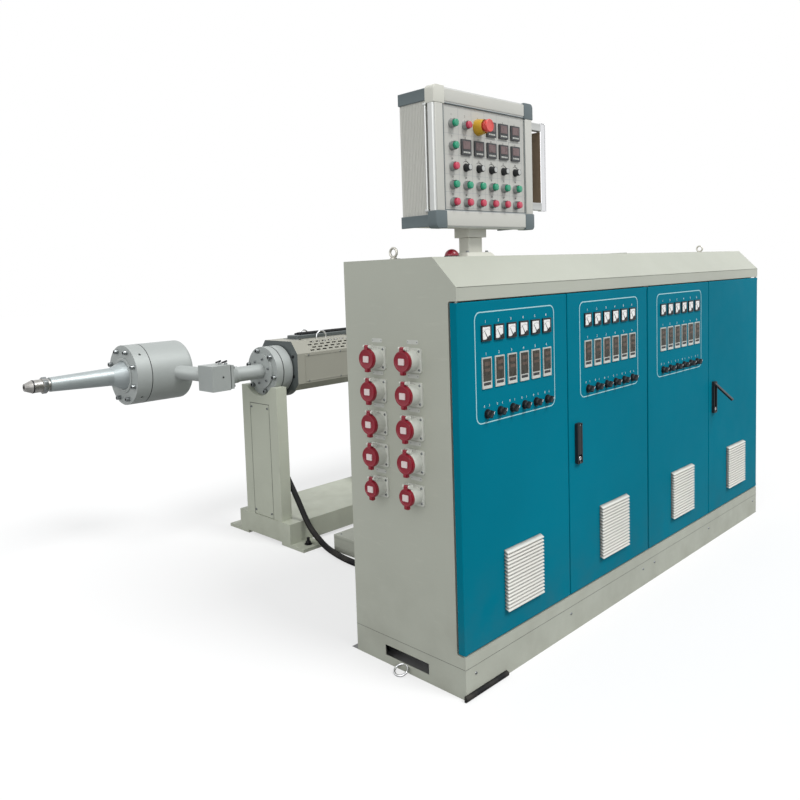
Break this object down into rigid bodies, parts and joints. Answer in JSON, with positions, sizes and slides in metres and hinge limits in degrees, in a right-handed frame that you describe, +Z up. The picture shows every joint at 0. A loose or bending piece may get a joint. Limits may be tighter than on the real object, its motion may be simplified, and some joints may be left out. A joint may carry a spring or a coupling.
{
  "type": "plastic extruder",
  "caption": "Single-screw plastic extruder with a crosshead die on its base, beside a four-door control cabinet with a turning operator box.",
  "frame": {"origin": "on the floor, at the middle of the overall length and width", "axes": "+X along the screw from the die nozzle to the motor and along the cabinet doors to the right, +Y from the cabinet doors to the extruder, +Z up"},
  "size_m": [3.863, 2.1684, 1.85],
  "materials": {
    "cabinet_paint": "satin powder coat",
    "door_paint": "satin powder coat",
    "zinc_plate": "zinc plated",
    "pale_plastic": "matt moulded",
    "instrument_plastic": "matt moulded",
    "handle_plastic": "satin black",
    "socket_plastic": "matt moulded",
    "lid_plastic": "moulded",
    "neck_paint": "satin",
    "box_paint": "satin",
    "box_aluminium": "anodised",
    "panel_plate": "satin",
    "control_plastic": "moulded",
    "stand_paint": "satin enamel",
    "machined_steel": "silver enamel over machined steel",
    "cover_paint": "satin enamel",
    "end_plate_paint": "dark enamel",
    "drive_paint": "satin enamel",
    "cable_rubber": "matt black sheath"
  },
  "bodies": {
    "machine": {"cabinet_left_wall": "cabinet_paint", "cabinet_right_wall": "cabinet_paint", "cabinet_back_wall": "cabinet_paint", "cabinet_roof": "cabinet_paint", "door_frame": "cabinet_paint", "plinth": "cabinet_paint", "cable_trunk": "cabinet_paint", "mounting_plates": "zinc_plate", "lifting_eyes": "zinc_plate", "socket_bodies": "socket_plastic", "neck_base": "neck_paint", "base_frame": "stand_paint", "stand_column": "stand_paint", "machine_bed": "stand_paint", "adapter_flange": "machined_steel", "barrel": "machined_steel", "adapter_block": "machined_steel", "feed_bend": "machined_steel", "die_body": "machined_steel", "die_flange": "machined_steel", "die_nozzle": "machined_steel", "feed_throat": "machined_steel", "barrel_cover": "cover_paint", "cover_end_plate": "end_plate_paint", "cooling_blowers": "end_plate_paint", "gearbox": "drive_paint", "motor": "drive_paint", "power_cable": "cable_rubber"},
    "door_leaf_1": {"door_1": "door_paint", "door_1_filter_cover": "pale_plastic", "door_1_instruments": "instrument_plastic"},
    "door_leaf_2": {"door_2": "door_paint", "door_2_filter_cover": "pale_plastic", "door_2_instruments": "instrument_plastic", "door_2_handle_plate": "handle_plastic"},
    "door_leaf_3": {"door_3": "door_paint", "door_3_filter_cover": "pale_plastic", "door_3_instruments": "instrument_plastic"},
    "door_leaf_4": {"door_4": "door_paint", "door_4_filter_cover": "pale_plastic", "door_4_handle_plate": "handle_plastic"},
    "handle_lever_2": {"door_2_handle_lever": "handle_plastic"},
    "handle_lever_4": {"door_4_handle_lever": "handle_plastic"},
    "operator_station": {"neck_head": "neck_paint", "operator_box": "box_paint", "operator_frame": "box_aluminium", "operator_panel": "panel_plate", "operator_controls": "control_plastic", "operator_grip": "box_aluminium"},
    "lid_1": {"socket_lid_1": "lid_plastic"},
    "lid_2": {"socket_lid_2": "lid_plastic"},
    "lid_3": {"socket_lid_3": "lid_plastic"},
    "lid_4": {"socket_lid_4": "lid_plastic"},
    "lid_5": {"socket_lid_5": "lid_plastic"},
    "lid_6": {"socket_lid_6": "lid_plastic"},
    "lid_7": {"socket_lid_7": "lid_plastic"},
    "lid_8": {"socket_lid_8": "lid_plastic"},
    "lid_9": {"socket_lid_9": "lid_plastic"},
    "lid_10": {"socket_lid_10": "lid_plastic"}
  },
  "joints": [
    {"name": "door_1_hinge", "type": "hinge", "parent": "machine", "child": "door_leaf_1", "pos_m": [-1.3815, -0.99084, 0.671], "axis": [0, 0, 1], "range_deg": [-110, 0]},
    {"name": "door_2_hinge", "type": "hinge", "parent": "machine", "child": "door_leaf_2", "pos_m": [-0.2, -0.99084, 0.671], "axis": [0, 0, 1], "range_deg": [0, 110]},
    {"name": "door_3_hinge", "type": "hinge", "parent": "machine", "child": "door_leaf_3", "pos_m": [-0.177, -0.99084, 0.671], "axis": [0, 0, 1], "range_deg": [-110, 0]},
    {"name": "door_4_hinge", "type": "hinge", "parent": "machine", "child": "door_leaf_4", "pos_m": [1.0045, -0.99084, 0.671], "axis": [0, 0, 1], "range_deg": [0, 110]},
    {"name": "door_2_lever_lift", "type": "hinge", "parent": "door_leaf_2", "child": "handle_lever_2", "pos_m": [-0.7315, -1.00584, 0.736], "axis": [-1, 0, 0], "range_deg": [0, 48]},
    {"name": "door_4_lever_lift", "type": "hinge", "parent": "door_leaf_4", "child": "handle_lever_4", "pos_m": [0.4625, -1.00584, 0.736], "axis": [-1, 0, 0], "range_deg": [-48, 0]},
    {"name": "operator_box_turn", "type": "hinge", "parent": "machine", "child": "operator_station", "pos_m": [-1.0845, -0.82184, 1.34], "axis": [0, 0, 1], "range_deg": [-90, 90]},
    {"name": "lid_1_hinge", "type": "hinge", "parent": "machine", "child": "lid_1", "pos_m": [-1.4356, -0.82384, 1.067], "axis": [0, 1, 0], "range_deg": [0, 95], "stiffness_Nm_per_rad": 0.05, "springref_deg": -22.92},
    {"name": "lid_2_hinge", "type": "hinge", "parent": "machine", "child": "lid_2", "pos_m": [-1.4356, -0.82384, 0.9615], "axis": [0, 1, 0], "range_deg": [0, 95], "stiffness_Nm_per_rad": 0.05, "springref_deg": -22.92},
    {"name": "lid_3_hinge", "type": "hinge", "parent": "machine", "child": "lid_3", "pos_m": [-1.4356, -0.82384, 0.856], "axis": [0, 1, 0], "range_deg": [0, 95], "stiffness_Nm_per_rad": 0.05, "springref_deg": -22.92},
    {"name": "lid_4_hinge", "type": "hinge", "parent": "machine", "child": "lid_4", "pos_m": [-1.4356, -0.82384, 0.7505], "axis": [0, 1, 0], "range_deg": [0, 95], "stiffness_Nm_per_rad": 0.05, "springref_deg": -22.92},
    {"name": "lid_5_hinge", "type": "hinge", "parent": "machine", "child": "lid_5", "pos_m": [-1.4356, -0.82384, 0.64], "axis": [0, 1, 0], "range_deg": [0, 95], "stiffness_Nm_per_rad": 0.05, "springref_deg": -22.92},
    {"name": "lid_6_hinge", "type": "hinge", "parent": "machine", "child": "lid_6", "pos_m": [-1.4356, -0.67184, 1.067], "axis": [0, 1, 0], "range_deg": [0, 95], "stiffness_Nm_per_rad": 0.05, "springref_deg": -22.92},
    {"name": "lid_7_hinge", "type": "hinge", "parent": "machine", "child": "lid_7", "pos_m": [-1.4356, -0.67184, 0.9615], "axis": [0, 1, 0], "range_deg": [0, 95], "stiffness_Nm_per_rad": 0.05, "springref_deg": -22.92},
    {"name": "lid_8_hinge", "type": "hinge", "parent": "machine", "child": "lid_8", "pos_m": [-1.4356, -0.67184, 0.856], "axis": [0, 1, 0], "range_deg": [0, 95], "stiffness_Nm_per_rad": 0.05, "springref_deg": -22.92},
    {"name": "lid_9_hinge", "type": "hinge", "parent": "machine", "child": "lid_9", "pos_m": [-1.4356, -0.67184, 0.7505], "axis": [0, 1, 0], "range_deg": [0, 95], "stiffness_Nm_per_rad": 0.05, "springref_deg": -22.92},
    {"name": "lid_10_hinge", "type": "hinge", "parent": "machine", "child": "lid_10", "pos_m": [-1.4356, -0.67184, 0.64], "axis": [0, 1, 0], "range_deg": [0, 95], "stiffness_Nm_per_rad": 0.05, "springref_deg": -22.92}
  ]
}
